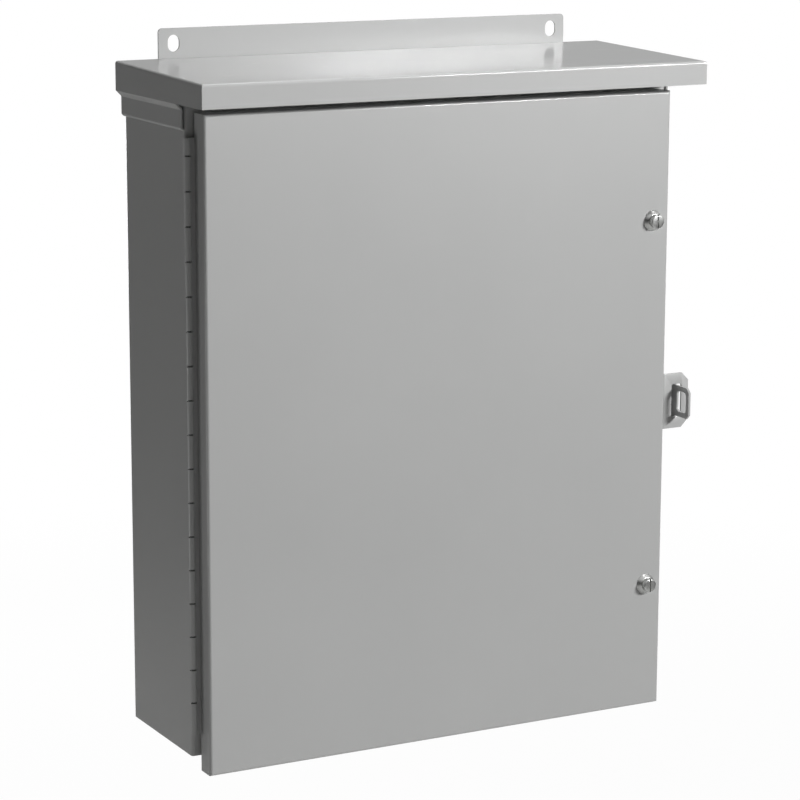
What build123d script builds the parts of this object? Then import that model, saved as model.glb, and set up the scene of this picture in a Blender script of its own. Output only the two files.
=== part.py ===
"""Outdoor wall-mount enclosure: folded sheet steel cabinet with a drip-shield roof, a
continuous-hinge door, two captive slotted screws, and a hasp and staple for a padlock.

Millimetres. X is to the right seen from the front, Y runs back towards the wall, Z is up.
The origin is on the wall plane, at mid width, level with the underside of the cabinet.
"""
from build123d import *
import math
import os

os.makedirs("parts", exist_ok=True)

# Cabinet
cabinet_width = 610.0
cabinet_height = 762.0
door_face_depth = 192.0
body_gauge = 1.9
bend_inside = 1.5
ring_to_lip = 4.1
rain_lip = 14.0
door_recess = 28.0

# Wall flanges, extensions of the back sheet
flange_inset = 41.0
flange_height = 34.0
flange_corner = 5.0
slot_width = 14.0
slot_length = 19.0
slot_from_end = 18.5
slot_from_edge = 17.0

# Bottom panel and header
weld_flange = 16.0
header_drop = 72.0
header_weld_flange = 24.0

# Drip shield
roof_gauge = 1.9
roof_fall = 6.2
front_overhang = 42.0
side_overhang = 10.5
front_lip = 26.5
eave_slant = 6.5
skirt_height = 20.0
skirt_seat = 0.1
roof_edge_radius = 3.0

# Door
door_side_step = 10.0
door_below_cabinet = 17.0
door_top_gap = 10.0
door_gauge = 1.9
door_edge_radius = 3.2
hinge_flange = 24.0

# Continuous hinge
hinge_gauge = 1.5
hinge_start = 26.0
knuckle_pitch = 38.1
knuckle_gap = 0.8
barrel_radius = 3.8
pin_radius = 2.25
pin_clearance = 0.05
barrel_side_count = 16
barrel_outboard = 9.0
leaf_gap = 0.3
leaf_width = 30.0
knuckle_relief = 0.5

# Unseen bores round a pin, stud or screw have flats
bore_side_count = 8

# Captive door screws
screw_from_edge = 21.0
screw_from_end = 150.0
screw_radius = 3.15
screw_head_radius = 8.2
screw_head_height = 6.8
screw_head_bevel = 1.6
driver_slot_width = 2.0
driver_slot_depth = 3.0
screw_travel = 15.24
retainer_stop_gap = 0.2
screw_reach_past_nut = 5.0
door_hole_clearance = 0.6
thread_clearance = 0.45
retainer_side = 12.0
retainer_clearance = 0.05
retainer_thickness = 1.2
washer_radius = 12.4
washer_thickness = 4.6
washer_angle = 40.0
nut_across_flats = 11.1
nut_thickness = 6.0

# Hasp and staple
hasp_gauge = 2.7
hasp_height = 66.0
hasp_reach = 37.0
hasp_behind_face = 5.5
hasp_leg = 15.0
hasp_chamfer = 9.0
hasp_slot_start = 14.0
hasp_slot_width = 13.5
hasp_slot_height = 40.0
hasp_slot_radius = 2.5
hasp_bend = 1.5
staple_gauge = 3.0
staple_height = 37.0
staple_foot_height = 48.0
staple_foot = 42.0
staple_shoulder_gap = 1.5
staple_standoff = 10.0
staple_joggle = 12.0
staple_behind_front = 16.0
staple_proud = 27.0
staple_rim = 6.0
staple_hole_from_hasp = 2.0
staple_corner = 5.0
padlock_hole_radius = 5.0

# Inner panel on its studs
panel_side_margin = 38.5
panel_end_margin = 38.0
panel_gauge = 2.0
panel_edge = 12.0
panel_hole_inset = 12.7
panel_standoff = 14.0
stud_radius = 3.15
stud_hex = 11.1
stud_proud_of_panel = 16.0
panel_hole_clearance = 0.4

# Ground stud
ground_from_side = 45.0
ground_stud_length = 22.0

# Worked out from the sizes above
half_width = cabinet_width / 2
collar_width = door_side_step + screw_from_edge + retainer_side / 2 + ring_to_lip + body_gauge
flange_width = cabinet_width - 2 * flange_inset
door_width = cabinet_width - 2 * door_side_step
panel_width = cabinet_width - 2 * panel_side_margin
panel_height = cabinet_height - 2 * panel_end_margin
front_y = door_recess - door_face_depth
door_face_y = -door_face_depth
outer_bend = bend_inside + body_gauge
lip_x = half_width - collar_width
corner_x = lip_x + body_gauge + outer_bend
roof_front_y = door_face_y - front_overhang
roof_depth = -roof_front_y
roof_front_z = cabinet_height - roof_fall
lip_bottom_z = roof_front_z - front_lip
roof_angle = math.atan2(roof_fall, roof_depth)
roof_drop = roof_gauge / math.cos(roof_angle)
roof_half = half_width + side_overhang
door_half = door_width / 2
door_top_z = lip_bottom_z - door_top_gap
door_bottom_z = -door_below_cabinet
door_mid_z = (door_top_z + door_bottom_z) / 2
body_leaf_y = front_y - hinge_gauge
door_leaf_y = body_leaf_y - leaf_gap - hinge_gauge
door_back_y = door_leaf_y
door_skin_y = door_face_y + door_gauge
barrel_x = -door_half - barrel_outboard
barrel_y = front_y - leaf_gap - barrel_radius
skirt_x = roof_half - eave_slant
skirt_top_z = lip_bottom_z - eave_slant
skirt_kick = skirt_x - half_width - roof_gauge * math.sin(math.pi / 4) - skirt_seat
skirt_bottom_z = skirt_top_z - skirt_height - skirt_kick
half_knuckles = math.floor(2 * (skirt_bottom_z - hinge_start) / knuckle_pitch)
hinge_length = half_knuckles * knuckle_pitch / 2
leaf_start_x = barrel_x + barrel_radius + knuckle_relief
leaf_end_x = barrel_x + leaf_width
screw_x = door_half - screw_from_edge
screw_heights = {
    "lower": door_bottom_z + screw_from_end,
    "upper": door_top_z - screw_from_end,
}
washer_front_y = door_face_y - washer_thickness
retainer_y = door_skin_y + screw_travel + retainer_stop_gap
nut_y = front_y + body_gauge
screw_tip_y = nut_y + nut_thickness + screw_reach_past_nut
header_z = cabinet_height - header_drop


def roof_under_z(y):
    """Height of the underside of the roof sheet at a distance from the wall plane."""
    return cabinet_height + y * math.tan(roof_angle) - roof_drop


def folded(points, gauge, outside_radius, side):
    """Closed section of a folded sheet, from a path along one of its surfaces."""
    with BuildLine() as path:
        FilletPolyline(*points, radius=outside_radius)
        offset(amount=gauge, side=side)
    return make_face(path.line)


def flat_bore(clear_radius):
    """Bore with flats that just clear a round of this radius, cut from the open sketch."""
    RegularPolygon(clear_radius, bore_side_count, major_radius=False, mode=Mode.SUBTRACT)


# Cabinet shell: one sheet folded into back, sides, front collars and rain lips
side_path = [
    (-lip_x - body_gauge, front_y - rain_lip),
    (-lip_x - body_gauge, front_y),
    (-half_width, front_y),
    (-half_width, 0),
]
shell_path = side_path + [(-x, y) for x, y in reversed(side_path)]
with BuildPart() as cabinet_shell:
    with BuildSketch():
        folded(shell_path, body_gauge, outer_bend, Side.RIGHT)
    extrude(amount=cabinet_height)
    # The top edges follow the fall of the roof
    with BuildSketch(Plane.YZ):
        with BuildLine():
            Polyline(
                (body_gauge, roof_under_z(body_gauge)),
                (roof_front_y, roof_under_z(roof_front_y)),
                (roof_front_y, cabinet_height + body_gauge),
                (body_gauge, cabinet_height + body_gauge),
                close=True,
            )
        make_face()
    extrude(amount=half_width + body_gauge, both=True, mode=Mode.SUBTRACT)
    # The rain lips stop where the sill and the header take over
    for low, high in ((0, collar_width + body_gauge), (header_z - body_gauge, cabinet_height)):
        with BuildSketch(Plane.XY.offset(low)):
            with Locations((0, front_y - rain_lip)):
                Rectangle(2 * corner_x, 2 * (rain_lip + outer_bend + body_gauge))
        extrude(amount=high - low, mode=Mode.SUBTRACT)
    # Mounting flanges above and below, one plane with the back
    with BuildSketch(Plane.XZ):
        with Locations((0, cabinet_height / 2)):
            RectangleRounded(flange_width, cabinet_height + 2 * flange_height, flange_corner)
        slot_x = flange_width / 2 - slot_from_end
        slot_z = cabinet_height / 2 + flange_height - slot_from_edge
        with Locations((0, cabinet_height / 2)):
            with GridLocations(2 * slot_x, 2 * slot_z, 2, 2):
                SlotOverall(slot_length, slot_width, rotation=90, mode=Mode.SUBTRACT)
    extrude(amount=body_gauge)
    # Clearance holes for the two door screws
    for height in screw_heights.values():
        with BuildSketch(Plane.XZ.offset(-nut_y)):
            with Locations((screw_x, height)):
                Circle(screw_radius + door_hole_clearance)
        extrude(amount=body_gauge, mode=Mode.SUBTRACT)
cabinet_shell.part.label = "cabinet_shell"

# Bottom panel with its front sill, lip and weld flanges
panel_inside = half_width - body_gauge
with BuildPart() as bottom_panel:
    with BuildSketch(Plane.XZ.offset(outer_bend)):
        folded(
            [(-panel_inside, weld_flange), (-panel_inside, 0), (panel_inside, 0), (panel_inside, weld_flange)],
            body_gauge,
            outer_bend,
            Side.LEFT,
        )
    extrude(amount=-front_y - 2 * outer_bend)
    with BuildSketch(Plane.YZ):
        folded(
            [
                (front_y - rain_lip, collar_width),
                (front_y, collar_width),
                (front_y, 0),
                (-body_gauge, 0),
                (-body_gauge, weld_flange),
            ],
            body_gauge,
            outer_bend,
            Side.LEFT,
        )
    extrude(amount=corner_x, both=True)
bottom_panel.part.label = "bottom_panel"

# Header: the collar above the door opening, welded up to the roof
with BuildPart() as header:
    back_z = roof_under_z(front_y + header_weld_flange)
    with BuildSketch(Plane.YZ):
        folded(
            [
                (front_y - rain_lip, header_z),
                (front_y, header_z),
                (front_y, roof_under_z(front_y)),
                (front_y + header_weld_flange, back_z),
            ],
            body_gauge,
            outer_bend,
            Side.RIGHT,
        )
    extrude(amount=corner_x, both=True)
header.part.label = "header"

# Drip shield: a lid with front and side lips, then a slanted eave and skirt on each side
with BuildPart() as drip_shield:
    with BuildSketch(Plane.YZ):
        with BuildLine():
            Polyline(
                (roof_front_y, lip_bottom_z),
                (roof_front_y, roof_front_z),
                (0, cabinet_height),
                (0, lip_bottom_z),
                close=True,
            )
        make_face()
    extrude(amount=roof_half, both=True)
    top_face = drip_shield.faces().sort_by(Axis.Z)[-1]
    fillet(top_face.edges().sort_by(Axis.Y)[:-1], radius=roof_edge_radius)
    underside = drip_shield.faces().sort_by(Axis.Z)[0]
    back_face = drip_shield.faces().sort_by(Axis.Y)[-1]
    offset(amount=-roof_gauge, openings=[underside, back_face])
    eave_path = [
        (roof_half, lip_bottom_z + eave_slant),
        (roof_half, lip_bottom_z),
        (skirt_x, skirt_top_z),
        (skirt_x, skirt_top_z - skirt_height),
        (skirt_x - skirt_kick, skirt_bottom_z),
    ]
    eave_bend = roof_gauge + bend_inside / 2
    with BuildSketch(Plane.XZ):
        folded(eave_path, roof_gauge, eave_bend, Side.RIGHT)
        folded([(-x, z) for x, z in eave_path], roof_gauge, eave_bend, Side.LEFT)
    extrude(amount=-front_y)
    # The rear edge is notched round the wall flange
    with BuildSketch(Plane.XY.offset(lip_bottom_z)):
        Rectangle(flange_width, 2 * body_gauge)
    extrude(amount=cabinet_height, mode=Mode.SUBTRACT)
drip_shield.part.label = "drip_shield"

# Door: a folded pan with an inward flange for the hinge leaf
hinge_low_z = hinge_start
hinge_high_z = hinge_start + hinge_length
with BuildPart() as door_pan:
    with BuildSketch(Plane.XZ.offset(-door_back_y)):
        with Locations((0, door_mid_z)):
            Rectangle(door_width, door_top_z - door_bottom_z)
    extrude(amount=door_back_y - door_face_y)
    front_face = door_pan.faces().sort_by(Axis.Y)[0]
    fillet(front_face.edges(), radius=door_edge_radius)
    pan_mouth = door_pan.faces().sort_by(Axis.Y)[-1]
    offset(amount=-door_gauge, openings=pan_mouth)
    with BuildSketch(Plane.XY.offset(hinge_low_z)):
        folded(
            [
                (-door_half, door_back_y - 2 * outer_bend),
                (-door_half, door_back_y),
                (-door_half + hinge_flange, door_back_y),
            ],
            door_gauge,
            outer_bend,
            Side.RIGHT,
        )
    extrude(amount=hinge_length)
    for height in screw_heights.values():
        with BuildSketch(Plane.XZ.offset(-door_skin_y)):
            with Locations((screw_x, height)):
                Circle(screw_radius + door_hole_clearance)
        extrude(amount=door_gauge, mode=Mode.SUBTRACT)
door_pan.part.label = "door_pan"

# Continuous hinge: two leaves with alternate knuckles pressed round one pin
whole_knuckles = math.ceil(half_knuckles / 2)
joint_heights = [hinge_low_z + n * knuckle_pitch for n in range(whole_knuckles)] + [hinge_high_z]
knuckle_spans = list(zip(joint_heights[:-1], joint_heights[1:]))
leaves = {}
for leaf_name, leaf_y, first in (("hinge_leaf_body", body_leaf_y, 0), ("hinge_leaf_door", door_leaf_y, 1)):
    with BuildPart() as leaf:
        with BuildSketch(Plane.XY.offset(hinge_low_z)):
            with Locations((leaf_start_x, leaf_y)):
                Rectangle(leaf_end_x - leaf_start_x, hinge_gauge, align=(Align.MIN, Align.MIN))
        extrude(amount=hinge_length)
        for low, high in knuckle_spans[first::2]:
            bottom_z = low if low == hinge_low_z else low + knuckle_gap / 2
            top_z = high if high == hinge_high_z else high - knuckle_gap / 2
            with BuildSketch(Plane.XY.offset(bottom_z)):
                with Locations((barrel_x, barrel_y)):
                    RegularPolygon(barrel_radius, barrel_side_count, major_radius=False)
                with Locations((barrel_x, leaf_y)):
                    Rectangle(leaf_start_x - barrel_x, hinge_gauge, align=(Align.MIN, Align.MIN))
                with Locations((barrel_x, barrel_y)):
                    flat_bore(pin_radius + pin_clearance)
            extrude(amount=top_z - bottom_z)
    leaf.part.label = leaf_name
    leaves[leaf_name] = leaf

with BuildPart() as hinge_pin:
    with BuildSketch(Plane.XY.offset(hinge_low_z)):
        with Locations((barrel_x, barrel_y)):
            Circle(pin_radius)
    extrude(amount=hinge_length)
hinge_pin.part.label = "hinge_pin"

# Hasp plate on the door's free edge, slotted for the staple
hasp_front_y = door_face_y + hasp_behind_face
hasp_end_x = door_half + hasp_reach
hasp_mid_z = door_mid_z
with BuildPart() as hasp_plate:
    with BuildSketch(Plane.XY.offset(hasp_mid_z - hasp_height / 2)):
        folded(
            [
                (hasp_end_x, hasp_front_y),
                (door_half, hasp_front_y),
                (door_half, hasp_front_y + hasp_leg),
            ],
            hasp_gauge,
            hasp_gauge + hasp_bend,
            Side.RIGHT,
        )
    extrude(amount=hasp_height)
    outer_corners = hasp_plate.edges().filter_by(Axis.Y).group_by(Axis.X)[-1]
    chamfer(outer_corners, length=hasp_chamfer)
    with BuildSketch(Plane.XZ.offset(-hasp_front_y)):
        with Locations((door_half + hasp_slot_start + hasp_slot_width / 2, hasp_mid_z)):
            RectangleRounded(hasp_slot_width, hasp_slot_height, hasp_slot_radius)
    extrude(amount=-hasp_gauge, mode=Mode.SUBTRACT)
hasp_plate.part.label = "hasp_plate"

# Staple on the cabinet side, joggled out and forward through the hasp
staple_back_y = front_y + staple_behind_front + staple_foot
staple_front_y = hasp_front_y - staple_proud
with BuildPart() as staple:
    with BuildSketch(Plane.XY.offset(hasp_mid_z - staple_foot_height / 2)):
        folded(
            [
                (half_width, staple_back_y),
                (half_width, staple_back_y - staple_foot + staple_joggle),
                (half_width + staple_standoff, staple_back_y - staple_foot),
                (half_width + staple_standoff, staple_front_y),
            ],
            staple_gauge,
            staple_gauge + bend_inside,
            Side.LEFT,
        )
    extrude(amount=staple_foot_height)
    shoulder_y = hasp_front_y + hasp_gauge + staple_shoulder_gap
    shoulder_step = (staple_foot_height - staple_height) / 2
    shoulder_z = (staple_height + shoulder_step) / 2
    with BuildSketch(Plane.YZ.offset(half_width)):
        with Locations((shoulder_y, hasp_mid_z - shoulder_z), (shoulder_y, hasp_mid_z + shoulder_z)):
            Rectangle(shoulder_y - staple_front_y, shoulder_step, align=(Align.MAX, Align.CENTER))
    extrude(amount=staple_standoff + 2 * staple_gauge, mode=Mode.SUBTRACT)
    nose = staple.edges().filter_by(Axis.X).group_by(Axis.Y)[0]
    chamfer(nose, length=staple_corner)
    hole_length = staple_proud - staple_rim - staple_hole_from_hasp
    with BuildSketch(Plane.YZ.offset(half_width)):
        with Locations((staple_front_y + staple_rim + hole_length / 2, hasp_mid_z)):
            RectangleRounded(hole_length, staple_height - 2 * staple_rim, padlock_hole_radius)
    extrude(amount=staple_standoff + 2 * staple_gauge, mode=Mode.SUBTRACT)
staple.part.label = "staple"

# Captive screws: each turns in a retaining ring that slides with it behind the door skin
screw_length = screw_tip_y - washer_front_y
screws = {}
retainers = {}
for end, height in screw_heights.items():
    with BuildPart() as screw:
        with BuildSketch(Plane.XZ.offset(-washer_front_y)):
            with Locations((screw_x, height)):
                Circle(screw_head_radius)
        extrude(amount=screw_head_height)
        head_rim = screw.faces().sort_by(Axis.Y)[0].edges()
        chamfer(head_rim, length=screw_head_bevel)
        with BuildSketch(Plane.XZ.offset(-washer_front_y + screw_head_height)):
            with Locations((screw_x, height)):
                Rectangle(driver_slot_width, 2 * screw_head_radius)
        extrude(amount=-driver_slot_depth, mode=Mode.SUBTRACT)
        with BuildSketch(Plane.XZ.offset(-washer_front_y)):
            with Locations((screw_x, height)):
                Circle(screw_radius)
        extrude(amount=-screw_length)
    screw.part.label = f"screw_{end}"
    screws[end] = screw

    with BuildPart() as retainer:
        with BuildSketch(Plane.XZ.offset(-retainer_y)):
            with Locations((screw_x, height)):
                Rectangle(retainer_side, retainer_side)
                flat_bore(screw_radius + retainer_clearance)
        extrude(amount=-retainer_thickness)
    retainer.part.label = f"retainer_{end}"
    retainers[end] = retainer

# Dished seat washers under the screw heads
with BuildPart() as seat_washers:
    for height in screw_heights.values():
        with BuildSketch(Plane.XZ.offset(-door_face_y)):
            with Locations((screw_x, height)):
                Circle(washer_radius)
        extrude(amount=washer_thickness, taper=washer_angle)
        with BuildSketch(Plane.XZ.offset(-door_face_y)):
            with Locations((screw_x, height)):
                Circle(screw_radius + door_hole_clearance)
        extrude(amount=washer_thickness, mode=Mode.SUBTRACT)
seat_washers.part.label = "seat_washers"

# Weld nuts behind the latch-side collar; the thread is left as a clearance bore
with BuildPart() as weld_nuts:
    for height in screw_heights.values():
        with BuildSketch(Plane.XZ.offset(-nut_y)):
            with Locations((screw_x, height)):
                RegularPolygon(nut_across_flats / 2, 6, major_radius=False)
                flat_bore(screw_radius + thread_clearance)
        extrude(amount=-nut_thickness)
weld_nuts.part.label = "weld_nuts"

# Hex shouldered studs welded to the back sheet, the inner panel and its nuts
panel_back_y = -body_gauge - panel_standoff
panel_front_y = panel_back_y - panel_gauge
panel_mid_z = cabinet_height / 2
stud_spacing_x = panel_width - 2 * panel_hole_inset
stud_spacing_z = panel_height - 2 * panel_hole_inset
with BuildPart() as panel_studs:
    with BuildSketch(Plane.XZ.offset(body_gauge)):
        with Locations((0, panel_mid_z)):
            with GridLocations(stud_spacing_x, stud_spacing_z, 2, 2):
                RegularPolygon(stud_hex / 2, 6, major_radius=False)
    extrude(amount=panel_standoff)
    with BuildSketch(Plane.XZ.offset(body_gauge)):
        with Locations((0, panel_mid_z)):
            with GridLocations(stud_spacing_x, stud_spacing_z, 2, 2):
                Circle(stud_radius)
    extrude(amount=panel_standoff + panel_gauge + stud_proud_of_panel)
panel_studs.part.label = "panel_studs"

with BuildPart() as inner_panel:
    with BuildSketch(Plane.XZ.offset(-panel_back_y)):
        with Locations((0, panel_mid_z)):
            Rectangle(panel_width, panel_height)
            with GridLocations(stud_spacing_x, stud_spacing_z, 2, 2):
                Circle(stud_radius + panel_hole_clearance, mode=Mode.SUBTRACT)
    extrude(amount=panel_gauge)
    # The long edges are turned back for stiffness
    with BuildSketch(Plane.XY.offset(panel_mid_z - panel_height / 2)):
        for side in (-1, 1):
            with Locations((side * (panel_width - panel_gauge) / 2, panel_back_y)):
                Rectangle(panel_gauge, panel_edge, align=(Align.CENTER, Align.MIN))
    extrude(amount=panel_height)
inner_panel.part.label = "inner_panel"

with BuildPart() as panel_nuts:
    with BuildSketch(Plane.XZ.offset(-panel_front_y)):
        with Locations((0, panel_mid_z)):
            with GridLocations(stud_spacing_x, stud_spacing_z, 2, 2):
                RegularPolygon(nut_across_flats / 2, 6, major_radius=False)
                flat_bore(stud_radius)
    extrude(amount=nut_thickness)
panel_nuts.part.label = "panel_nuts"

# Ground stud on the floor of the cabinet, with its nut
ground_x = -half_width + ground_from_side
ground_y = front_y / 2
with BuildPart() as ground_stud:
    with BuildSketch(Plane.XY.offset(body_gauge)):
        with Locations((ground_x, ground_y)):
            Circle(stud_radius)
    extrude(amount=ground_stud_length)
ground_stud.part.label = "ground_stud"

with BuildPart() as ground_nut:
    with BuildSketch(Plane.XY.offset(body_gauge)):
        with Locations((ground_x, ground_y)):
            RegularPolygon(nut_across_flats / 2, 6, major_radius=False)
            flat_bore(stud_radius)
    extrude(amount=nut_thickness)
ground_nut.part.label = "ground_nut"

pieces = [
    cabinet_shell,
    bottom_panel,
    header,
    drip_shield,
    *leaves.values(),
    hinge_pin,
    door_pan,
    hasp_plate,
    staple,
    *screws.values(),
    *retainers.values(),
    seat_washers,
    weld_nuts,
    panel_studs,
    inner_panel,
    panel_nuts,
    ground_stud,
    ground_nut,
]
for piece in pieces:
    export_step(piece.part, f"parts/{piece.part.label}.step")
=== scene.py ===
"""Looks of an outdoor wall-mount enclosure: baked grey enamel on folded sheet steel, zinc-plated
captive screws and hardware, set in a plain pale studio.

Every length is in metres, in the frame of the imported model: X to the right seen from the front,
Y back towards the wall, Z up.
"""

from __future__ import annotations

import logging
import math
from collections.abc import Callable, Iterable, Sequence
from dataclasses import dataclass, field
from enum import Enum
from typing import Union

import bpy
from mathutils import Matrix, Vector


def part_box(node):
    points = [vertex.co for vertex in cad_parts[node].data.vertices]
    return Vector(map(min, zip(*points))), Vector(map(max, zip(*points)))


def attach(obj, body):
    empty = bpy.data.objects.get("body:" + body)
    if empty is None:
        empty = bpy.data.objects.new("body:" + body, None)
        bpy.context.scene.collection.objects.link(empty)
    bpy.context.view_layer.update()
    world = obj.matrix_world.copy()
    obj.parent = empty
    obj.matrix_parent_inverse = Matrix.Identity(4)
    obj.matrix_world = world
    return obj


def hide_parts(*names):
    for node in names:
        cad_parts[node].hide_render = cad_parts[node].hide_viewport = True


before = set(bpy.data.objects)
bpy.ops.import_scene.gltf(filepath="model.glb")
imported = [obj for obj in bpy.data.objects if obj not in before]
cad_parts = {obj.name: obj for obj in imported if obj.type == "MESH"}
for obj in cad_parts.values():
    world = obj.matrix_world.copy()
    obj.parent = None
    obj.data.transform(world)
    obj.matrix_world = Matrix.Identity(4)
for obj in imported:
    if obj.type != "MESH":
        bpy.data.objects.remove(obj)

Triple = tuple[float, float, float]
Settings = dict[str, object]
Inputs = dict[Union[str, int], object]
Test = Callable[[Vector, Vector], bool]

PURE_WHITE = (1.0, 1.0, 1.0, 1.0)

log = logging.getLogger("wall_enclosure")


class Part(Enum):
    """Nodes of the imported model, grouped by what covers them."""

    GREY = ("cabinet_shell", "bottom_panel", "header", "drip_shield", "door_pan",
            "hinge_leaf_body", "hinge_leaf_door", "hasp_plate", "staple")
    WHITE = ("inner_panel",)
    ZINC = ("hinge_pin", "weld_nuts", "panel_studs", "panel_nuts", "ground_stud", "ground_nut",
            "seat_washers", "retainer_upper", "retainer_lower", "screw_upper", "screw_lower")


class Slot(Enum):
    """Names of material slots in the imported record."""

    GREY = "grey_paint"
    ZINC = "zinc_plate"


class Wire:
    """One shader value, so that shading can be written as plain arithmetic."""

    def __init__(self, maker: "NodeMaker", socket: bpy.types.NodeSocket) -> None:
        """Keep the socket and the maker whose tree it is in."""
        self.maker = maker
        self.socket = socket

    def _maths(self, operation: str, first: "Term", second: "Term") -> "Wire":
        """Join two terms by one Math node."""
        node = self.maker.add("ShaderNodeMath", {"operation": operation}, {0: first, 1: second})
        return Wire(self.maker, node.outputs[0])

    def __add__(self, other: "Term") -> "Wire":
        """Return self + other."""
        return self._maths("ADD", self, other)

    def __radd__(self, other: "Term") -> "Wire":
        """Return other + self."""
        return self._maths("ADD", other, self)

    def __sub__(self, other: "Term") -> "Wire":
        """Return self - other."""
        return self._maths("SUBTRACT", self, other)

    def __rsub__(self, other: "Term") -> "Wire":
        """Return other - self."""
        return self._maths("SUBTRACT", other, self)

    def __mul__(self, other: "Term") -> "Wire":
        """Return self * other."""
        return self._maths("MULTIPLY", self, other)

    def __rmul__(self, other: "Term") -> "Wire":
        """Return other * self."""
        return self._maths("MULTIPLY", other, self)

    def __truediv__(self, other: "Term") -> "Wire":
        """Return self / other."""
        return self._maths("DIVIDE", self, other)

    def __rtruediv__(self, other: "Term") -> "Wire":
        """Return other / self."""
        return self._maths("DIVIDE", other, self)

    def at_least(self, other: "Term") -> "Wire":
        """Return the larger of self and other."""
        return self._maths("MAXIMUM", self, other)


Term = Union[Wire, float]


class NodeMaker:
    """Adds nodes to one material's or world's tree."""

    def __init__(self, tree: bpy.types.NodeTree) -> None:
        """Empty the tree and start on it."""
        self.tree = tree
        tree.nodes.clear()

    def add(self, kind: str, settings: Settings | None = None,
            values: Inputs | None = None) -> bpy.types.Node:
        """Add one node.

        Args:
            kind: the node's type name.
            settings: its own properties, such as a Math node's operation or a ramp's stops.
            values: what its inputs get, by name or number: a Wire, a node's output or a constant.

        Returns:
            The new node.
        """
        node = self.tree.nodes.new(kind)
        for name, value in (settings or {}).items():
            if name == "stops":
                self._set_stops(node.color_ramp, value)
            else:
                setattr(node, name, value)
        for name, value in (values or {}).items():
            if isinstance(value, Wire):
                self.tree.links.new(value.socket, node.inputs[name])
            elif isinstance(value, bpy.types.NodeSocket):
                self.tree.links.new(value, node.inputs[name])
            else:
                node.inputs[name].default_value = value
        return node

    @staticmethod
    def _set_stops(ramp: bpy.types.ColorRamp, stops: Sequence[tuple[float, float]]) -> None:
        """Give a ramp its stops.

        Args:
            ramp: the ramp.
            stops: each a place in 0..1 and a grey level.
        """
        while len(ramp.elements) < len(stops):
            ramp.elements.new(1.0)
        for element, (place, level) in zip(ramp.elements, stops):
            element.position = place
            element.color = (level, level, level, 1.0)

    def wire(self, kind: str, settings: Settings | None = None, values: Inputs | None = None,
             output: str | int = 0) -> Wire:
        """Add one node and return one of its outputs as a Wire."""
        return Wire(self, self.add(kind, settings, values).outputs[output])

    def noise(self, place: bpy.types.NodeSocket, scale: float, detail: float = 2.0,
              roughness: float = 0.5) -> Wire:
        """Return smooth noise in 0..1 at so many waves per metre."""
        return self.wire("ShaderNodeTexNoise", {"noise_dimensions": "3D"}, {
            "Vector": place, "Scale": scale, "Detail": detail, "Roughness": roughness})

    def step(self, value: Term, low: float, high: float) -> Wire:
        """Return 0 where a value is under low, 1 where it is over high, and a slope between."""
        return self.wire("ShaderNodeValToRGB", {"stops": ((low, 0.0), (high, 1.0))},
                         {"Fac": value}, "Color")

    def mixed(self, factor: Term, first: Triple, second: Triple) -> bpy.types.NodeSocket:
        """Return the colour between two colours."""
        return self.add("ShaderNodeMix", {"data_type": "RGBA"}, {
            "Factor": factor, 6: (*first, 1.0), 7: (*second, 1.0)}).outputs[2]

    def object_place(self) -> bpy.types.NodeSocket:
        """Return the place on the object, in metres."""
        return self.add("ShaderNodeTexCoord").outputs["Object"]

    def stretched(self, place: bpy.types.NodeSocket, by: Triple) -> bpy.types.NodeSocket:
        """Return coordinates scaled along each axis."""
        return self.add("ShaderNodeMapping", {"vector_type": "POINT"},
                        {"Vector": place, "Scale": by}).outputs[0]


def surface_material(name: str,
                     shade: Callable[[NodeMaker], bpy.types.NodeSocket]) -> bpy.types.Material:
    """Build a surface material, once.

    Args:
        name: the material's name.
        shade: adds its shading and returns the shader.

    Returns:
        The material, new or as built before.
    """
    known = bpy.data.materials.get(name)
    if known is not None:
        return known
    material = bpy.data.materials.new(name)
    material.use_nodes = True
    make = NodeMaker(material.node_tree)
    make.add("ShaderNodeOutputMaterial", None, {"Surface": shade(make)})
    return material


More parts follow.
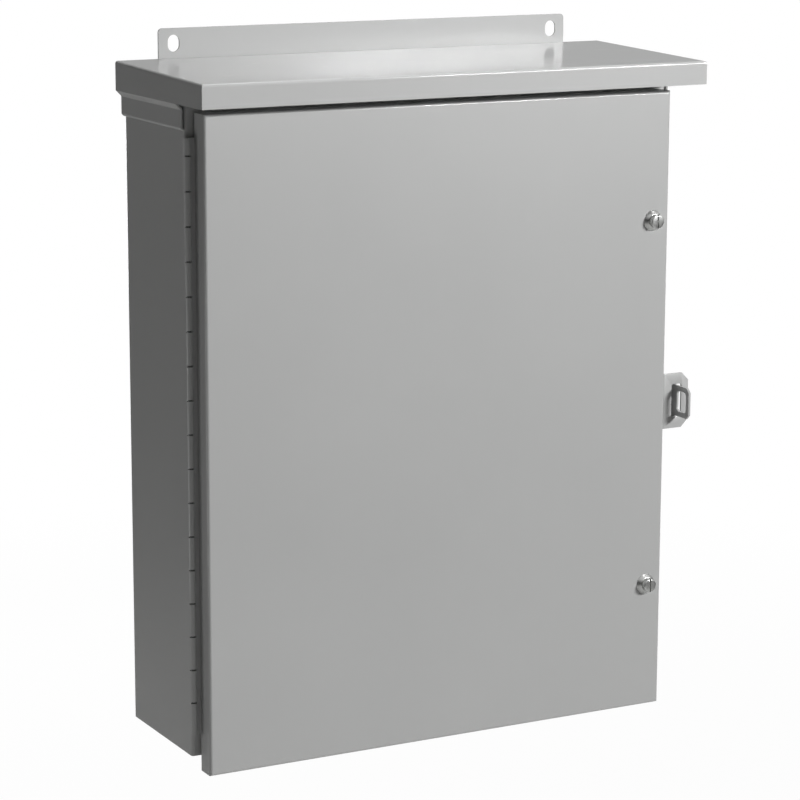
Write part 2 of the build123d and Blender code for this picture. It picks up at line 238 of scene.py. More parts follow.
@dataclass(frozen=True)
class Enamel:
    """Baked enamel on steel: a little orange peel under a clear gloss, with faint handling marks.

    Waves are counts for each metre.
    """

    name: str
    colour: Triple
    shade: Triple
    gloss_roughness: float = 0.11
    gloss: float = 0.55
    body_roughness: float = 0.42
    refraction: float = 1.5
    cloud_waves: float = 5.0
    cloud_share: float = 0.8
    cloud_dulling: float = 0.10
    streak_waves: Triple = (260.0, 260.0, 9.0)
    scuff_waves: float = 31.0
    scuff_range: tuple[float, float] = (0.60, 0.72)
    scuff_dulling: float = 0.06
    scuff_wear: float = 0.22
    sag_waves: float = 9.0
    sag_gloss: float = 0.08
    sag_height: float = 0.00016
    peel_waves: float = 420.0
    peel_height: float = 0.000012
    relief: float = 0.55

    def material(self) -> bpy.types.Material:
        """Return the finish as a material."""
        return surface_material(self.name, self._shading)

    def _shading(self, make: NodeMaker) -> bpy.types.NodeSocket:
        """Add the enamel's nodes.

        Args:
            make: adds them to the material's tree.

        Returns:
            The shader.
        """
        place = make.object_place()
        clouds = make.noise(place, self.cloud_waves, detail=3.0)
        peel = make.noise(place, self.peel_waves, detail=2.0, roughness=0.45)
        sags = make.noise(place, self.sag_waves, detail=1.0)
        streaks = make.noise(make.stretched(place, self.streak_waves), 1.0, detail=4.0,
                             roughness=0.6)
        scuffs = make.step(make.noise(place, self.scuff_waves, detail=6.0, roughness=0.62),
                           *self.scuff_range)
        tint = make.mixed(clouds * self.cloud_share + streaks * (1.0 - self.cloud_share),
                          self.shade, self.colour)
        dull = (self.body_roughness + (clouds - 0.5) * self.cloud_dulling
                + scuffs * self.scuff_dulling)
        clear = self.gloss * (1.0 - scuffs * self.scuff_wear) + (sags - 0.5) * self.sag_gloss
        height = peel * self.peel_height + sags * self.sag_height
        bump = make.add("ShaderNodeBump", None, {
            "Strength": self.relief, "Distance": 1.0, "Height": height})
        return make.add("ShaderNodeBsdfPrincipled", None, {
            "Base Color": tint,
            "Roughness": dull,
            "IOR": self.refraction,
            "Coat Weight": clear,
            "Coat Roughness": self.gloss_roughness,
            "Coat IOR": self.refraction,
            "Normal": bump.outputs[0],
        }).outputs[0]


@dataclass(frozen=True)
class ZincPlate:
    """Bright zinc plate: fine turning marks, cloudy passivation and a slightly duller bloom.

    Waves are counts for each metre.
    """

    name: str
    colour: Triple
    bloom: Triple
    roughness: float = 0.3
    cloud_waves: float = 160.0
    cloud_dulling: float = 0.16
    cloud_height: float = 0.00002
    grain_waves: Triple = (900.0, 5200.0, 900.0)
    grain_dulling: float = 0.08
    grain_height: float = 0.000012
    relief: float = 0.4

    def material(self) -> bpy.types.Material:
        """Return the finish as a material."""
        return surface_material(self.name, self._shading)

    def _shading(self, make: NodeMaker) -> bpy.types.NodeSocket:
        """Add the plate's nodes.

        Args:
            make: adds them to the material's tree.

        Returns:
            The shader.
        """
        place = make.object_place()
        clouds = make.noise(place, self.cloud_waves, detail=3.0)
        grain = make.noise(make.stretched(place, self.grain_waves), 1.0, detail=2.0)
        rough = (self.roughness + (clouds - 0.5) * self.cloud_dulling
                 + (grain - 0.5) * self.grain_dulling)
        bump = make.add("ShaderNodeBump", None, {
            "Strength": self.relief, "Distance": 1.0,
            "Height": grain * self.grain_height + clouds * self.cloud_height})
        return make.add("ShaderNodeBsdfPrincipled", None, {
            "Base Color": make.mixed(clouds, self.bloom, self.colour),
            "Metallic": 1.0,
            "Roughness": rough,
            "Normal": bump.outputs[0],
        }).outputs[0]


Finish = Union[Enamel, ZincPlate]

GREY_ENAMEL = Enamel("grey_enamel", (0.455, 0.458, 0.455), (0.425, 0.428, 0.426))
WHITE_ENAMEL = Enamel("white_enamel", (0.80, 0.80, 0.775), (0.76, 0.76, 0.74), 0.16, 0.4, 0.4)
BRIGHT_ZINC = ZincPlate("bright_zinc", (0.66, 0.66, 0.64), (0.52, 0.53, 0.53))
# Painted shade: the hinge pin is made dark so that the joints between knuckles read as dark
# notches, standing in for the shadow in those gaps.
PIN_STEEL_PAINTED_JOINT_SHADE = ZincPlate("pin_steel_painted_joint_shade", (0.17, 0.17, 0.165), (0.11, 0.11, 0.11), 0.42)


@dataclass
class Lamp:
    """One soft rectangular lamp."""

    name: str
    place: Triple
    aim: Triple
    width: float
    height: float
    power: float

    def build(self) -> None:
        """Add the lamp, turned to its aim."""
        data = bpy.data.lights.new(self.name, "AREA")
        data.shape = "RECTANGLE"
        data.size, data.size_y = self.width, self.height
        data.energy = self.power
        lamp = bpy.data.objects.new(self.name, data)
        bpy.context.scene.collection.objects.link(lamp)
        lamp.location = self.place
        lamp.visible_camera = False
        toward = Vector(self.aim) - Vector(self.place)
        lamp.rotation_euler = toward.to_track_quat("-Z", "Y").to_euler()


@dataclass(frozen=True)
class Surround:
    """Brightness of the studio round about: everywhere, added on the right, and added above."""

    everywhere: float
    right: float
    above: float

    def level(self, right_share: Wire, above_share: Wire) -> Wire:
        """Return the brightness in a direction that is so far right and so far up."""
        return self.everywhere + right_share * self.right + above_share * self.above


@dataclass
class Studio:
    """Pale floor, soft lamps, white surroundings and the photograph's camera.

    The key lamp is low and turned away from the door, which evens out its light. It stands so
    far to the right that the door's return keeps it off the hinge.
    """

    floor_z: float = -0.62
    floor_reach: float = 9.0
    floor_tints: tuple[Triple, Triple] = ((0.80, 0.80, 0.79), (0.84, 0.84, 0.83))
    floor_waves: float = 1.2
    floor_glow: float = 0.95
    glow_range: tuple[float, float] = (0.08, 0.38)
    ambient: Surround = Surround(0.004, 0.03, 0.03)
    reflected: Surround = Surround(0.04, 0.25, 0.66)
    right_range: tuple[float, float] = (0.15, 0.75)
    above_range: tuple[float, float] = (0.60, 0.86)
    camera_place: Triple = (-1.5419, -2.9731, 1.0482)
    yaw: float = 28.081
    pitch: float = 11.823
    roll: float = 0.185
    lens: float = 129.34
    sensor: float = 36.0
    clip: tuple[float, float] = (0.05, 60.0)
    lamps: list[Lamp] = field(default_factory=lambda: [
        Lamp("key_lamp", (1.60, -2.6, 1.37), (-0.87, -1.29, 1.56), 0.8, 0.2, 104.0),
        Lamp("top_lamp", (0.4, 0.25, 2.5), (0.0, -0.1, 0.7), 1.6, 0.9, 25.0),
        Lamp("side_lamp", (-1.7, 0.20, 0.05), (-0.3, -0.05, 0.30), 0.5, 0.5, 2.6),
        Lamp("back_lamp", (0.15, 2.7, 0.40), (0.05, 0.0, 0.30), 1.2, 0.7, 20.0),
    ])

    def build(self) -> None:
        """Set up the whole studio."""
        self.build_world()
        self.build_floor()
        for lamp in self.lamps:
            lamp.build()
        self.build_camera()
        bpy.context.scene.view_settings.view_transform = "Standard"

    def build_world(self) -> None:
        """Make the world: white to the camera, and to all else a studio dim low on the left."""
        world = bpy.data.worlds.new("studio_world")
        world.use_nodes = True
        bpy.context.scene.world = world
        make = NodeMaker(world.node_tree)
        toward = make.add("ShaderNodeSeparateXYZ", None, {
            "Vector": make.add("ShaderNodeTexCoord").outputs["Generated"]})
        across = Wire(make, toward.outputs[0])
        up = Wire(make, toward.outputs[2])
        rays = make.add("ShaderNodeLightPath")
        seen = Wire(make, rays.outputs["Is Camera Ray"])
        mirrored = Wire(make, rays.outputs["Is Glossy Ray"]).at_least(
            Wire(make, rays.outputs["Is Transmission Ray"]))
        # A direction's parts run from -1 to 1, and a step reads 0 to 1.
        right_share = make.step(across * 0.5 + 0.5, *self.right_range)
        above_share = make.step(up * 0.5 + 0.5, *self.above_range)
        ambient = self.ambient.level(right_share, above_share)
        reflected = self.reflected.level(right_share, above_share)
        level = ambient * (1.0 - mirrored) + reflected * mirrored
        strength = level * (1.0 - seen) + seen
        back = make.add("ShaderNodeBackground", None, {
            "Color": PURE_WHITE, "Strength": strength})
        make.add("ShaderNodeOutputWorld", None, {"Surface": back.outputs[0]})

    def build_floor(self) -> None:
        """Add a pale floor well below the box, which hangs on a wall in use."""
        bpy.ops.object.select_all(action="DESELECT")
        bpy.ops.mesh.primitive_plane_add(size=2 * self.floor_reach,
                                         location=(0.0, 0.0, self.floor_z))
        floor = bpy.context.object
        floor.name = "studio_floor"
        floor.data.materials.append(surface_material("pale_floor", self._floor_shading))

    def _floor_shading(self, make: NodeMaker) -> bpy.types.NodeSocket:
        """Add the floor's nodes: matt, and nearly white to the camera, wholly so far out.

        Args:
            make: adds them to the material's tree.

        Returns:
            The shader.
        """
        place = make.object_place()
        matt = make.add("ShaderNodeBsdfDiffuse", None, {
            "Color": make.mixed(make.noise(place, self.floor_waves), *self.floor_tints)})
        glow = make.add("ShaderNodeEmission", None, {"Color": PURE_WHITE, "Strength": 1.0})
        seen = make.wire("ShaderNodeLightPath", None, None, "Is Camera Ray")
        reach = make.wire("ShaderNodeVectorMath", {"operation": "LENGTH"}, {0: place}, "Value")
        far = make.step(reach / self.floor_reach, *self.glow_range)
        share = seen * (self.floor_glow + far * (1.0 - self.floor_glow))
        return make.add("ShaderNodeMixShader", None, {
            0: share, 1: matt.outputs[0], 2: glow.outputs[0]}).outputs[0]

    def build_camera(self) -> None:
        """Stand the camera to the left of the door, a little above the roof, looking down."""
        data = bpy.data.cameras.new("photo_camera")
        data.lens = self.lens
        data.sensor_width = self.sensor
        data.clip_start, data.clip_end = self.clip
        camera = bpy.data.objects.new("photo_camera", data)
        bpy.context.scene.collection.objects.link(camera)
        turn = (Matrix.Rotation(math.radians(-self.yaw), 4, "Z")
                @ Matrix.Rotation(math.radians(90.0 - self.pitch), 4, "X")
                @ Matrix.Rotation(math.radians(self.roll), 4, "Z"))
        camera.matrix_world = Matrix.Translation(self.camera_place) @ turn
        bpy.context.scene.camera = camera


class Bench:
    """Modelling steps: primitives shaped in edit mode, then modifiers that are applied.

    A nut's chamfers come from a lathe that is a little wider than its corners and longer than
    itself, so that no two faces lie in one plane.
    """

    MERGE_WITHIN = 0.000002
    FLAT_WITHIN = math.radians(0.4)
    ALONG = 0.9
    ROUND_SIDES = 48
    BORE_SIDES = 32
    THREAD_STEPS = 20
    RIDGE_CORNERS = 3
    RIDGE_SHARE = 0.52
    LATHE_OVER_CORNER = 1.002
    LATHE_PAST_NUT = 0.0003
    NUT_FACE_SHARE = 0.985

    @staticmethod
    def only(piece: bpy.types.Object) -> None:
        """Leave one object selected and active.

        Args:
            piece: the object.
        """
        bpy.ops.object.select_all(action="DESELECT")
        piece.select_set(True)
        bpy.context.view_layer.objects.active = piece

    @staticmethod
    def rod(name: str, radius: float, start: Triple, end: Triple,
            sides: int = ROUND_SIDES) -> bpy.types.Object:
        """Add a closed cylinder between two points.

        Args:
            name: the new object's name.
            radius: to the corners of its sides.
            start: middle of one end.
            end: middle of the other end.
            sides: how many sides it has.

        Returns:
            The new object, with its place in its mesh.
        """
        along = Vector(end) - Vector(start)
        bpy.ops.object.select_all(action="DESELECT")
        bpy.ops.mesh.primitive_cylinder_add(
            vertices=sides, radius=radius, depth=along.length,
            location=(Vector(start) + Vector(end)) / 2,
            rotation=along.to_track_quat("Z", "Y").to_euler())
        piece = bpy.context.object
        piece.name = name
        Bench.settle(piece)
        return piece

    @staticmethod
    def block(name: str, low: Triple, high: Triple) -> bpy.types.Object:
        """Add a box.

        Args:
            name: the new object's name.
            low: its corner with the lowest X, Y and Z.
            high: its corner with the highest.

        Returns:
            The new object, with its place in its mesh.
        """
        low_corner, high_corner = Vector(low), Vector(high)
        bpy.ops.object.select_all(action="DESELECT")
        bpy.ops.mesh.primitive_cube_add(
            size=1.0, location=(low_corner + high_corner) / 2, scale=high_corner - low_corner)
        piece = bpy.context.object
        piece.name = name
        Bench.settle(piece)
        return piece

    @staticmethod
    def settle(piece: bpy.types.Object) -> None:
        """Move an object's place, turn and scale into its mesh."""
        Bench.only(piece)
        bpy.ops.object.transform_apply(location=True, rotation=True, scale=True)

    @staticmethod
    def clear_picks(piece: bpy.types.Object) -> None:
        """Leave nothing selected in a mesh.

        Args:
            piece: the object, which becomes the active one.
        """
        Bench.only(piece)
        for group in (piece.data.vertices, piece.data.edges, piece.data.polygons):
            group.foreach_set("select", [False] * len(group))

    @staticmethod
    def pick_faces(piece: bpy.types.Object, test: Test) -> None:
        """Enter edit mode with some faces selected.

        Args:
            piece: the object.
            test: says from a face's centre and normal whether it is one of them.
        """
        Bench.clear_picks(piece)
        for face in piece.data.polygons:
            face.select = test(face.center, face.normal)
        bpy.context.tool_settings.mesh_select_mode = (False, False, True)
        bpy.ops.object.mode_set(mode="EDIT")

    @staticmethod
    def pick_edges(piece: bpy.types.Object, test: Test) -> None:
        """Enter edit mode with some edges selected.

        Args:
            piece: the object.
            test: says from an edge's middle and direction whether it is one of them.
        """
        Bench.clear_picks(piece)
        corners = piece.data.vertices
        for edge in piece.data.edges:
            first, second = (corners[number].co for number in edge.vertices)
            edge.select = test((first + second) / 2, (second - first).normalized())
        bpy.context.tool_settings.mesh_select_mode = (False, True, False)
        bpy.ops.object.mode_set(mode="EDIT")

    @staticmethod
    def leave() -> None:
        """Go back to object mode."""
        bpy.ops.object.mode_set(mode="OBJECT")

    @staticmethod
    def bevel_edges(piece: bpy.types.Object, test: Test, offset: float, segments: int) -> None:
        """Bevel some edges.

        Args:
            piece: the object.
            test: says from an edge's middle and direction whether it is one of them.
            offset: the bevel's width on each side of the edge.
            segments: how many faces the bevel has across.
        """
        Bench.pick_edges(piece, test)
        bpy.ops.mesh.bevel(offset=offset, segments=segments)
        Bench.leave()

    @staticmethod
    def modify(piece: bpy.types.Object, kind: str, **settings: object) -> None:
        """Add one modifier and apply it.

        Args:
            piece: the object.
            kind: the modifier's type.
            settings: the modifier's own properties.
        """
        Bench.only(piece)
        modifier = piece.modifiers.new(kind.lower(), kind)
        for name, value in settings.items():
            setattr(modifier, name, value)
        bpy.ops.object.modifier_apply(modifier=modifier.name)

    @staticmethod
    def carve(piece: bpy.types.Object, tool: bpy.types.Object,
              operation: str = "DIFFERENCE") -> None:
        """Use a tool on a piece by a Boolean, and throw the tool away."""
        Bench.modify(piece, "BOOLEAN", operation=operation, object=tool, solver="EXACT")
        bpy.data.objects.remove(tool)

    @staticmethod
    def ease_edges(piece: bpy.types.Object, width: float, segments: int, above: float) -> None:
        """Round every sharp edge.

        Args:
            piece: the object.
            width: the bevel's width on each side of an edge.
            segments: how many faces the bevel has across.
            above: the angle in degrees from which an edge is sharp.
        """
        Bench.modify(piece, "BEVEL", width=width, segments=segments, limit_method="ANGLE",
                     angle_limit=math.radians(above), harden_normals=False,
                     miter_outer="MITER_ARC")

    @staticmethod
    def joined(name: str, pieces: Sequence[bpy.types.Object]) -> bpy.types.Object:
        """Make several objects one.

        Args:
            name: the name of the one.
            pieces: the objects.

        Returns:
            The first of them, with the meshes of all.
        """
        bpy.ops.object.select_all(action="DESELECT")
        for piece in pieces:
            piece.select_set(True)
        bpy.context.view_layer.objects.active = pieces[0]
        bpy.ops.object.join()
        pieces[0].name = name
        return pieces[0]

    @staticmethod
    def copied(piece: bpy.types.Object, name: str,
               shift: Triple = (0.0, 0.0, 0.0)) -> bpy.types.Object:
        """Copy an object with its own mesh.

        Args:
            piece: the object.
            name: the copy's name.
            shift: how far the copy's mesh is moved.

        Returns:
            The copy.
        """
        twin = piece.copy()
        twin.data = piece.data.copy()
        twin.name = name
        bpy.context.scene.collection.objects.link(twin)
        twin.data.transform(Matrix.Translation(shift))
        return twin

    @staticmethod
    def taken_from(node: str, name: str) -> bpy.types.Object:
        """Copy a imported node, with its loose triangles merged and its flat faces made whole.

        Args:
            node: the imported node, which is left as it is.
            name: the copy's name.

        Returns:
            The copy.
        """
        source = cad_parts[node]
        piece = bpy.data.objects.new(name, source.data.copy())
        bpy.context.scene.collection.objects.link(piece)
        Bench.only(piece)
        if piece.data.has_custom_normals:
            bpy.ops.mesh.customdata_custom_splitnormals_clear()
        bpy.ops.object.mode_set(mode="EDIT")
        bpy.ops.mesh.select_all(action="SELECT")
        bpy.ops.mesh.remove_doubles(threshold=Bench.MERGE_WITHIN)
        bpy.ops.mesh.dissolve_limited(angle_limit=Bench.FLAT_WITHIN)
        Bench.leave()
        return piece

    @staticmethod
    def thread(name: str, axis_point: Triple, radius: float, pitch: float, turns: int,
               along: str = "Y") -> bpy.types.Object:
        """Wind a thread ridge round an axis.

        Args:
            name: the new object's name.
            axis_point: where the thread starts on its axis.
            radius: of the ridge's crest.
            pitch: advance for each turn, with its sign.
            turns: how many turns it makes.
            along: the axis that it follows, Y or Z.

        Returns:
            The ridge as a closed object.
        """
        size = abs(pitch) * Bench.RIDGE_SHARE
        lying = along == "Y"
        bpy.ops.object.select_all(action="DESELECT")
        bpy.ops.mesh.primitive_circle_add(
            vertices=Bench.RIDGE_CORNERS, radius=size, location=axis_point,
            rotation=(0.0 if lying else math.pi / 2, 0.0, 0.0))
        ridge = bpy.context.object
        ridge.name = name
        bpy.ops.object.transform_apply(location=False, rotation=True, scale=True)
        bpy.ops.object.mode_set(mode="EDIT")
        bpy.ops.mesh.select_all(action="SELECT")
        bpy.ops.transform.rotate(value=math.pi / 2, orient_axis="Z" if lying else "Y",
                                 center_override=axis_point)
        bpy.ops.transform.translate(value=(radius - size, 0.0, 0.0))
        Bench.leave()
        Bench.modify(ridge, "SCREW", axis=along, angle=math.tau, screw_offset=pitch,
                     iterations=turns, steps=Bench.THREAD_STEPS,
                     render_steps=Bench.THREAD_STEPS, use_merge_vertices=False)
        bpy.ops.object.mode_set(mode="EDIT")
        bpy.ops.mesh.select_all(action="SELECT")
        bpy.ops.mesh.fill_holes(sides=Bench.RIDGE_CORNERS)
        bpy.ops.mesh.select_all(action="SELECT")
        bpy.ops.mesh.normals_make_consistent(inside=False)
        Bench.leave()
        Bench.settle(ridge)
        return ridge

    @staticmethod
    def hex_corner(across_flats: float) -> float:
        """Return how far a hexagon's corners are from its middle."""
        return across_flats / 2 / math.cos(math.pi / 6)

    @staticmethod
    def hex_nut(name: str, start: Triple, end: Triple, across_flats: float,
                bore: float) -> bpy.types.Object:
        """Make a hex nut, its corners chamfered at both ends.

        Args:
            name: the new object's name.
            start: middle of one end.
            end: middle of the other end.
            across_flats: its size over two flats.
            bore: radius of its hole, which goes right through.

        Returns:
            The nut.
        """
        corner = Bench.hex_corner(across_flats)
        lathe_radius = corner * Bench.LATHE_OVER_CORNER
        face_radius = across_flats / 2 * Bench.NUT_FACE_SHARE
        run = Vector(end) - Vector(start)
        past = run.normalized() * Bench.LATHE_PAST_NUT
        nut = Bench.rod(name, corner, start, end, sides=6)
        lathe = Bench.rod("nut_lathe", lathe_radius, Vector(start) - past, Vector(end) + past)
        Bench.ease_edges(lathe, lathe_radius - face_radius + past.length, segments=1, above=60.0)
        Bench.carve(nut, lathe, "INTERSECT")
        Bench.carve(nut, Bench.rod("nut_bore", bore, Vector(start) - run * 0.5,
                                   Vector(end) + run * 0.5, Bench.BORE_SIDES))
        return nut

    @staticmethod
    def handed_over(piece: bpy.types.Object, finish: Finish, slot: Slot, body: str,
                    nodes: Iterable[str], smooth: float = 35.0) -> None:
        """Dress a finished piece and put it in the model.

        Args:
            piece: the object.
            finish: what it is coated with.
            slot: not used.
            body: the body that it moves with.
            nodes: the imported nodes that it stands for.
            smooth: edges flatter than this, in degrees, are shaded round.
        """
        Bench.only(piece)
        bpy.ops.object.shade_smooth_by_angle(angle=math.radians(smooth))
        piece.data.materials.clear()
        piece.data.materials.append(finish.material())
        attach(piece, body)
        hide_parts(*nodes)
        log.info("%s: %d faces, on %s", piece.name, len(piece.data.polygons), body)


def middle_of(node: str) -> Vector:
    """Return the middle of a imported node's box."""
    low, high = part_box(node)
    return (low + high) / 2


@dataclass
class CaptiveScrews:
    """Two slotted screws, each held in the door by a push-on ring, over stamped cup washers.

    A cutter goes cut_past beyond what it cuts, and an edge within near of an end is its rim.
    """

    head_radius: float = 0.0082
    head_height: float = 0.0068
    head_sides: int = 56
    rim_bevel: float = 0.0015
    seat_bevel: float = 0.0004
    slot_width: float = 0.0020
    slot_depth: float = 0.0030
    slot_reach: float = 0.012
    shank_radius: float = 0.0026
    shank_sides: int = 28
    tip_chamfer: float = 0.0009
    crest_radius: float = 0.00315
    pitch: float = 0.00127
    thread_turns: int = 16
    thread_from_tip: float = 0.0012
    ring_corner: float = 0.0024
    ring_edge: float = 0.00012
    tooth_root: float = 0.0042
    tooth_tip_share: float = 0.68
    tooth_corners: int = 16
    washer_radius: float = 0.0124
    washer_top_share: float = 0.69
    washer_edge: float = 0.0006
    washer_bore: float = 0.0037
    overlap: float = 0.0005
    cut_past: float = 0.002
    near: float = 0.00001

    def build(self) -> None:
        """Make the upper set, copy it down to the lower place, and hand all over."""
        upper, lower = middle_of("screw_upper"), middle_of("screw_lower")
        drop = (0.0, 0.0, lower.z - upper.z)
        screw = self.make_screw(upper)
        ring = self.make_ring(upper)
        washer = self.make_washer(upper)
        pairs = (("upper", screw, ring),
                 ("lower", Bench.copied(screw, "captive_screw_lower", drop),
                  Bench.copied(ring, "push_ring_lower", drop)))
        for end, one_screw, one_ring in pairs:
            Bench.handed_over(one_screw, BRIGHT_ZINC, Slot.ZINC, f"{end}_screw", [f"screw_{end}"])
            Bench.handed_over(one_ring, BRIGHT_ZINC, Slot.ZINC, f"{end}_ring",
                              [f"retainer_{end}"])
        washers = Bench.joined("cup_washers", [washer, Bench.copied(washer, "washer_lower", drop)])
        Bench.handed_over(washers, BRIGHT_ZINC, Slot.ZINC, "door", ["seat_washers"])

    def make_screw(self, middle: Vector) -> bpy.types.Object:
        """Turn a slotted head, a plain shank and a rolled thread.

        Args:
            middle: of the screw, which gives its axis.

        Returns:
            The upper screw.
        """
        low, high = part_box("screw_upper")
        x, z = middle.x, middle.z
        front, tip = low.y, high.y
        seat = front + self.head_height
        head = Bench.rod("captive_screw_upper", self.head_radius, (x, seat, z), (x, front, z),
                         self.head_sides)
        Bench.bevel_edges(head, lambda centre, along: centre.y < front + self.near,
                          self.rim_bevel, segments=5)
        Bench.bevel_edges(head, lambda centre, along: centre.y > seat - self.near,
                          self.seat_bevel, segments=2)
        half = self.slot_width / 2
        Bench.carve(head, Bench.block(
            "driver_slot", (x - half, front - self.cut_past, z - self.slot_reach),
            (x + half, front + self.slot_depth, z + self.slot_reach)))
        shank = Bench.rod("shank", self.shank_radius, (x, seat - self.overlap, z), (x, tip, z),
                          self.shank_sides)
        Bench.bevel_edges(shank, lambda centre, along: centre.y > tip - self.near,
                          self.tip_chamfer, segments=1)
        ridge = Bench.thread("screw_thread", (x, tip - self.thread_from_tip, z),
                             self.crest_radius, -self.pitch, self.thread_turns)
        return Bench.joined("captive_screw_upper", [head, shank, ridge])

    def make_ring(self, middle: Vector) -> bpy.types.Object:
        """Stamp a square push-on ring with a toothed hole, its corners rounded.

        Args:
            middle: of the screw, which gives the ring's axis.

        Returns:
            The upper ring.
        """
        low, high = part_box("retainer_upper")
        x, z = middle.x, middle.z
        ring = Bench.block("push_ring_upper", tuple(low), tuple(high))
        Bench.bevel_edges(ring, lambda centre, along: abs(along.y) > Bench.ALONG,
                          self.ring_corner, segments=3)
        teeth = Bench.rod("ring_teeth", self.tooth_root, (x, low.y - self.cut_past / 2, z),
                          (x, high.y + self.cut_past / 2, z), self.tooth_corners)
        Bench.clear_picks(teeth)
        for number, corner in enumerate(teeth.data.vertices):
            corner.select = (number // 2) % 2 == 0
        bpy.context.tool_settings.mesh_select_mode = (True, False, False)
        bpy.ops.object.mode_set(mode="EDIT")
        bpy.ops.transform.resize(value=(self.tooth_tip_share, 1.0, self.tooth_tip_share),
                                 center_override=(x, low.y, z))
        Bench.leave()
        Bench.carve(ring, teeth)
        Bench.ease_edges(ring, self.ring_edge, segments=1, above=50.0)
        return ring

    def make_washer(self, middle: Vector) -> bpy.types.Object:
        """Press a cup washer: a flat seat on a sloping skirt.

        Args:
            middle: of the screw, which gives the washer's axis.

        Returns:
            The upper washer.
        """
        low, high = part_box("seat_washers")
        x, z = middle.x, middle.z
        washer = Bench.rod("cup_washers", self.washer_radius, (x, high.y, z), (x, low.y, z),
                           self.head_sides)
        Bench.pick_faces(washer, lambda centre, normal: normal.y < -Bench.ALONG)
        bpy.ops.transform.resize(value=(self.washer_top_share, 1.0, self.washer_top_share),
                                 center_override=(x, low.y, z))
        Bench.leave()
        Bench.ease_edges(washer, self.washer_edge, segments=3, above=25.0)
        Bench.carve(washer, Bench.rod("washer_bore", self.washer_bore,
                                      (x, low.y - self.cut_past, z),
                                      (x, high.y + self.cut_past, z), Bench.BORE_SIDES))
        return washer


@dataclass
class ContinuousHinge:
    """Two leaves of sheet rolled into alternate knuckles round one pin."""

    pitch: float = 0.0381
    gap: float = 0.0020
    gauge: float = 0.0015
    leaf_gap: float = 0.0003
    barrel_radius: float = 0.0038
    sides: int = 32
    plate_from_barrel: float = 0.0005
    tail_past_barrel: float = 0.0006
    edge: float = 0.00015
    pin_sides: int = 36
    pin_bevel: float = 0.0006
    cut_past: float = 0.002

    def build(self) -> None:
        """Roll both leaves and set the pin."""
        body_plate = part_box("hinge_leaf_body")[1].y - self.gauge
        door_plate = body_plate - self.leaf_gap - self.gauge
        self.make_leaf("hinge_leaf_body", "enclosure", body_plate, 0)
        self.make_leaf("hinge_leaf_door", "door", door_plate, 1)
        self.make_pin()

    def make_pin(self) -> None:
        """Turn the pin, with rounded ends, in a dark steel that paints shade into the knuckle
        joints.
        """
        low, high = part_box("hinge_pin")
        middle = middle_of("hinge_pin")
        pin = Bench.rod("rolled_hinge_pin", (high.x - low.x) / 2, (middle.x, middle.y, low.z),
                        (middle.x, middle.y, high.z), self.pin_sides)
        Bench.bevel_edges(pin, lambda centre, along: abs(along.z) < Bench.ALONG, self.pin_bevel,
                          segments=3)
        Bench.handed_over(pin, PIN_STEEL_PAINTED_JOINT_SHADE, Slot.ZINC, "enclosure", ["hinge_pin"])

    def spans(self) -> list[tuple[float, float]]:
        """Share out the pin's length among the knuckles of both leaves.

        Returns:
            The lowest and highest point of every knuckle, from the bottom up.
        """
        low_z, high_z = (corner.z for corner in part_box("hinge_pin"))
        joints = []
        height = low_z
        while height < high_z - self.gap / 2:
            joints.append(height)
            height += self.pitch
        joints.append(high_z)
        return [(low + (self.gap / 2 if low > low_z else 0.0),
                 high - (self.gap / 2 if high < high_z else 0.0))
                for low, high in zip(joints[:-1], joints[1:])]

    def make_leaf(self, node: str, body: str, front: float, first: int) -> None:
        """Make one leaf.

        Args:
            node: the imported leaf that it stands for.
            body: what it moves with.
            front: Y of its plate's front.
            first: number of its lowest knuckle.
        """
        low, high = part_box(node)
        start = middle_of("hinge_pin").x + self.barrel_radius + self.plate_from_barrel
        parts = [Bench.block(f"{node}_plate", (start, front, low.z),
                             (high.x, front + self.gauge, high.z))]
        knuckle = self.make_knuckle(front)
        for bottom, top in self.spans()[first::2]:
            twin = Bench.copied(knuckle, f"{node}_knuckle")
            for corner in twin.data.vertices:
                corner.co.z = bottom if corner.co.z < 0.5 * self.pitch else top
            parts.append(twin)
        bpy.data.objects.remove(knuckle)
        leaf = Bench.joined(f"{node}_rolled", parts)
        Bench.ease_edges(leaf, self.edge, segments=1, above=60.0)
        Bench.handed_over(leaf, GREY_ENAMEL, Slot.GREY, body, [node])

    def make_knuckle(self, front: float) -> bpy.types.Object:
        """Roll one knuckle, a pitch tall: a barrel with the sheet's end running into its side.

        Args:
            front: Y of the front of the leaf's plate.

        Returns:
            The knuckle, standing on the plane z = 0.
        """
        middle = middle_of("hinge_pin")
        x, y = middle.x, middle.y
        knuckle = Bench.rod("knuckle", self.barrel_radius, (x, y, 0.0), (x, y, self.pitch),
                            self.sides)
        tail = Bench.block("knuckle_tail", (x, front, 0.0),
                           (x + self.barrel_radius + self.tail_past_barrel,
                            front + self.gauge, self.pitch))
        Bench.carve(knuckle, tail, "UNION")
        bore = Bench.rod("knuckle_bore", self.barrel_radius - self.gauge, (x, y, -self.cut_past),
                         (x, y, self.pitch + self.cut_past), self.sides)
        Bench.carve(knuckle, bore)
        return knuckle


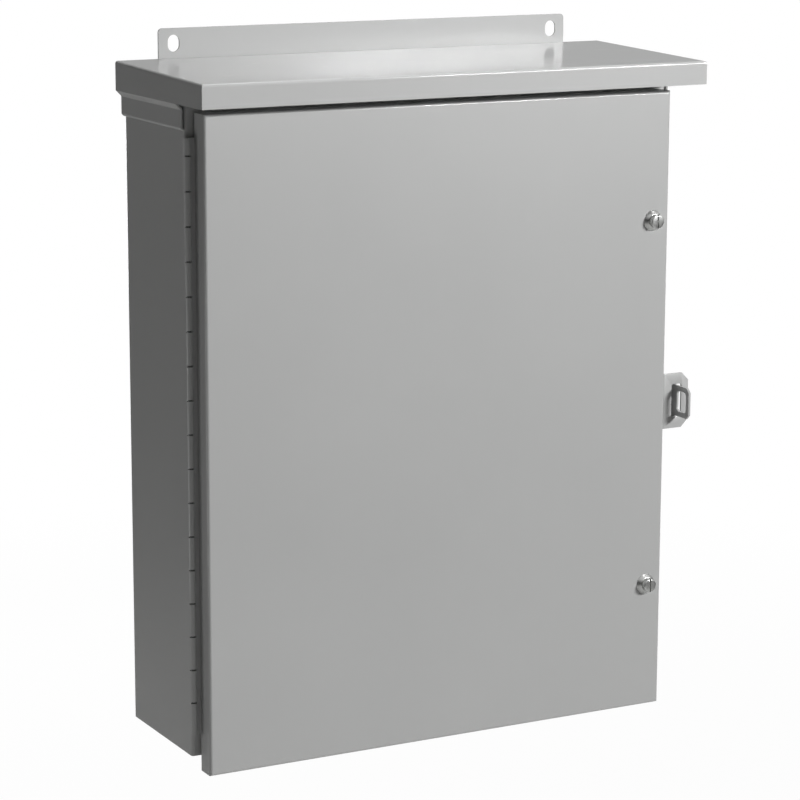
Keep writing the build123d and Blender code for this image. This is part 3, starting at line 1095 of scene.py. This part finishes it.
@dataclass
class InsideHardware:
    """Studs and nuts of the inner panel, weld nuts for the screws, and the ground stud."""

    across_flats: float = 0.0111
    nut_bore: float = 0.0027
    weld_nut_bore: float = 0.0033
    collar_bore: float = 0.0020
    core: float = 0.0027
    core_sides: int = 24
    crest: float = 0.00315
    pitch: float = 0.00127
    turns: int = 12
    thread_from_tip: float = 0.0009
    weld_depth: float = 0.001
    panel_gauge: float = 0.002

    def build(self) -> None:
        """Make each kind once and copy it to its places."""
        self.build_panel_studs()
        self.build_panel_nuts()
        self.build_weld_nuts()
        self.build_ground()

    def build_panel_studs(self) -> None:
        """Make the four studs: a hex shoulder on the back sheet, then a thread past the panel."""
        low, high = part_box("panel_studs")
        x, z = self._upper_right("panel_studs")
        panel_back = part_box("panel_nuts")[1].y + self.panel_gauge
        collar = Bench.hex_nut("stud_collar", (x, high.y, z), (x, panel_back, z),
                               self.across_flats, self.collar_bore)
        core = Bench.rod("stud_core", self.core, (x, high.y - self.weld_depth, z), (x, low.y, z),
                         self.core_sides)
        ridge = Bench.thread("stud_thread", (x, low.y + self.thread_from_tip, z), self.crest,
                             self.pitch, self.turns)
        stud = Bench.joined("panel_stud", [collar, core, ridge])
        self._place_four("threaded_panel_studs", stud, "panel_studs")

    def build_panel_nuts(self) -> None:
        """Make a chamfered nut on each stud."""
        low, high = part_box("panel_nuts")
        x, z = self._upper_right("panel_nuts")
        nut = Bench.hex_nut("panel_nut", (x, high.y, z), (x, low.y, z), self.across_flats,
                            self.nut_bore)
        self._place_four("chamfered_panel_nuts", nut, "panel_nuts")

    def _reach(self) -> tuple[float, float]:
        """Return how far a hexagon reaches from its middle along X and Z."""
        return Bench.hex_corner(self.across_flats), self.across_flats / 2

    def _upper_right(self, node: str) -> tuple[float, float]:
        """Find the upper right one of a node's four hexagons.

        Args:
            node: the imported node.

        Returns:
            X and Z of the hexagon's middle.
        """
        reach_x, reach_z = self._reach()
        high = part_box(node)[1]
        return high.x - reach_x, high.z - reach_z

    def _place_four(self, name: str, piece: bpy.types.Object, node: str) -> None:
        """Copy a piece to all four corners of the panel and hand them over as one.

        Args:
            name: the name of the one.
            piece: the piece in the upper right corner.
            node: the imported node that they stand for.
        """
        low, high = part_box(node)
        reach_x, reach_z = self._reach()
        across, tall = high.x - low.x - 2 * reach_x, high.z - low.z - 2 * reach_z
        shifts = ((-across, 0.0, 0.0), (0.0, 0.0, -tall), (-across, 0.0, -tall))
        parts = [piece] + [Bench.copied(piece, f"{name}_copy", shift) for shift in shifts]
        Bench.handed_over(Bench.joined(name, parts), BRIGHT_ZINC, Slot.ZINC, "enclosure", [node])

    def build_weld_nuts(self) -> None:
        """Make two weld nuts behind the latch-side collar."""
        low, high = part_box("weld_nuts")
        upper, lower = middle_of("screw_upper"), middle_of("screw_lower")
        nut = Bench.hex_nut("weld_nut", (upper.x, high.y, upper.z), (upper.x, low.y, upper.z),
                            self.across_flats, self.weld_nut_bore)
        twin = Bench.copied(nut, "weld_nut_lower", (0.0, 0.0, lower.z - upper.z))
        Bench.handed_over(Bench.joined("chamfered_weld_nuts", [nut, twin]), BRIGHT_ZINC,
                          Slot.ZINC, "enclosure", ["weld_nuts"])

    def build_ground(self) -> None:
        """Make a threaded stud on the cabinet's floor, with its nut."""
        low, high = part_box("ground_stud")
        middle = middle_of("ground_stud")
        x, y = middle.x, middle.y
        core = Bench.rod("ground_core", self.core, (x, y, low.z), (x, y, high.z), self.core_sides)
        ridge = Bench.thread("ground_thread", (x, y, high.z - self.thread_from_tip), self.crest,
                             -self.pitch, self.turns, "Z")
        Bench.handed_over(Bench.joined("threaded_ground_stud", [core, ridge]), BRIGHT_ZINC,
                          Slot.ZINC, "enclosure", ["ground_stud"])
        nut_low, nut_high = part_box("ground_nut")
        nut = Bench.hex_nut("chamfered_ground_nut", (x, y, nut_low.z), (x, y, nut_high.z),
                            self.across_flats, self.nut_bore)
        Bench.handed_over(nut, BRIGHT_ZINC, Slot.ZINC, "enclosure", ["ground_nut"])


@dataclass
class SheetParts:
    """Thick sheet parts, with the slightly rounded edges that a coat of enamel leaves."""

    edge: float = 0.0005
    bodies: dict[str, str] = field(default_factory=lambda: {
        "hasp_plate": "door",
        "staple": "enclosure",
    })

    def build(self) -> None:
        """Copy each part and ease its edges."""
        for node, body in self.bodies.items():
            piece = Bench.taken_from(node, f"{node}_eased")
            Bench.ease_edges(piece, self.edge, segments=2, above=50.0)
            Bench.handed_over(piece, GREY_ENAMEL, Slot.GREY, body, [node], smooth=30.0)


def dress_nodes() -> None:
    """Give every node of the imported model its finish."""
    finishes = {Part.GREY: GREY_ENAMEL, Part.WHITE: WHITE_ENAMEL, Part.ZINC: BRIGHT_ZINC}
    for group, finish in finishes.items():
        for name in group.value:
            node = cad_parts[name]
            material = finish.material()
            if not node.material_slots:
                node.data.materials.append(material)
            for held in node.material_slots:
                held.material = material
            log.info("%s wears %s", name, material.name)


def main() -> None:
    """Build everything."""
    logging.basicConfig(level=logging.INFO, format="%(name)s: %(message)s")
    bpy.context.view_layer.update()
    Studio().build()
    dress_nodes()
    CaptiveScrews().build()
    ContinuousHinge().build()
    InsideHardware().build()
    SheetParts().build()


if __name__ == "__main__":
    main()
